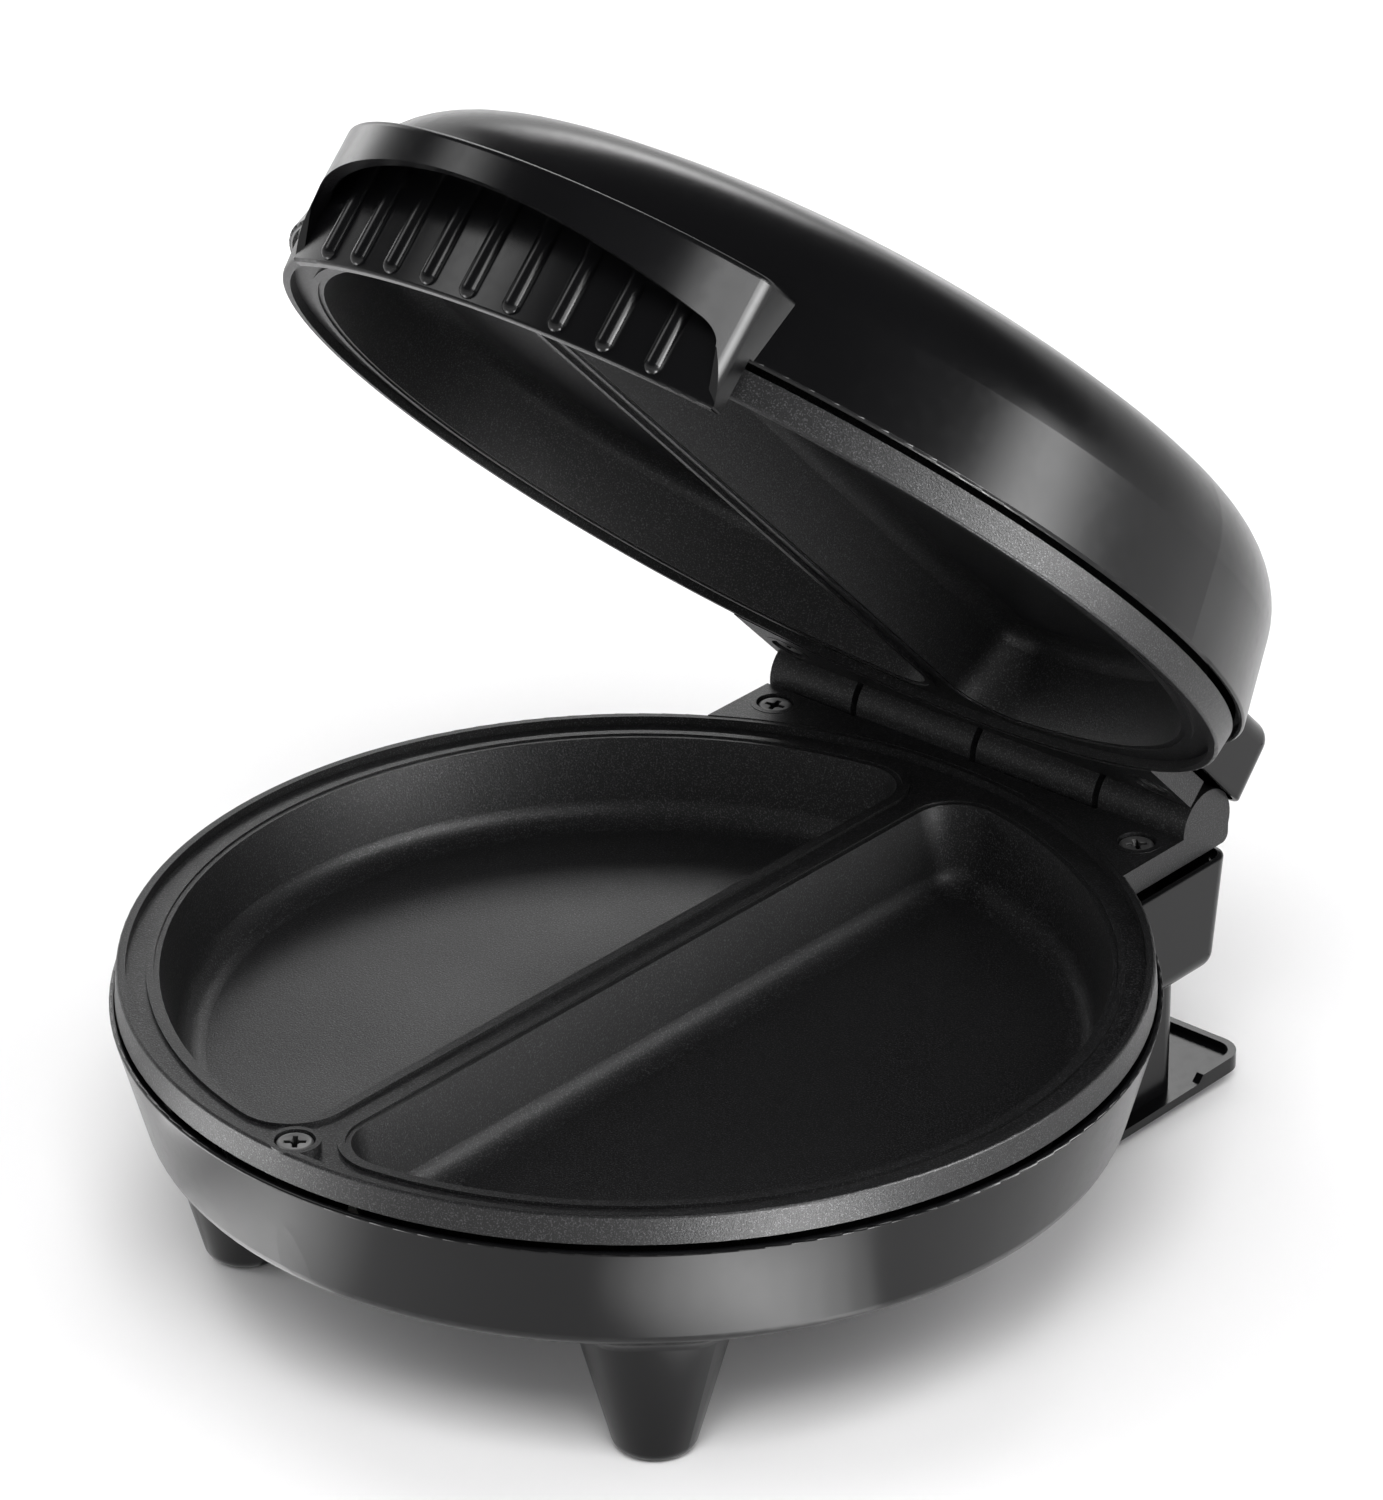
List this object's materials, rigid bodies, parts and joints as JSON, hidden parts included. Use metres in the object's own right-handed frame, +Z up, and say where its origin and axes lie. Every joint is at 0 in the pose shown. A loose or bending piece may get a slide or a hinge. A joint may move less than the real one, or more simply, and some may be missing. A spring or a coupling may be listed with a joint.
{
  "type": "electric omelette maker",
  "caption": "Round clamshell omelette maker with half-moon non-stick wells, hinged domed lid, ribbed hood handle, legs and a cord winder at the back.",
  "frame": {"origin": "on the table under the middle of the whole appliance with its lid raised", "axes": "+Z up, -Y towards the user and the handle side, +X to the user's right, hinge axis along X at the back"},
  "size_m": [0.217, 0.2447, 0.2578],
  "materials": {
    "black_gloss_plastic": "glossy black moulded",
    "nonstick_plate": "dark grey non-stick coated casting",
    "steel": "zinc plated",
    "dark_screw": "blackened",
    "element_steel": "dull sheathed tube",
    "ceramic_bead": "unglazed",
    "shield_aluminium": "bright sheet",
    "thermostat_body": "phenolic",
    "brass_terminal": "plain",
    "fuse_sleeve": "white sleeve",
    "pale_plastic": "heat resistant",
    "lead_insulation": "silicone sleeved",
    "black_matte_plastic": "satin",
    "green_lens": "clear tinted",
    "red_lens": "clear tinted",
    "bulb_glass": "clear"
  },
  "bodies": {
    "base": {"base_housing": "black_gloss_plastic", "cord_winder": "black_gloss_plastic", "lower_plate": "nonstick_plate", "hinge_pin": "steel", "lower_plate_screws": "dark_screw", "lower_element": "element_steel", "lower_element_beads": "ceramic_bead", "lower_shield": "shield_aluminium", "lower_shield_screws": "steel", "thermostat": "thermostat_body", "thermostat_tabs": "brass_terminal", "thermal_fuse": "fuse_sleeve", "fuse_strap": "steel", "terminal_block": "pale_plastic", "terminal_screws": "brass_terminal", "internal_leads": "lead_insulation", "cord_gland": "black_matte_plastic", "winder_screws": "steel"},
    "lid": {"lid_housing": "black_gloss_plastic", "handle": "black_gloss_plastic", "upper_plate": "nonstick_plate", "upper_plate_screws": "dark_screw", "upper_element": "element_steel", "upper_element_beads": "ceramic_bead", "upper_shield": "shield_aluminium", "upper_shield_screws": "steel", "handle_screws": "steel", "lamp_lens_right": "green_lens", "lamp_lens_left": "red_lens", "lamp_bulb_right": "bulb_glass", "lamp_bulb_left": "bulb_glass"}
  },
  "joints": [
    {"name": "lid_hinge", "type": "hinge", "parent": "base", "child": "lid", "pos_m": [0, 0.10306, 0.0675], "axis": [-1, 0, 0], "range_deg": [-45, 45]}
  ]
}
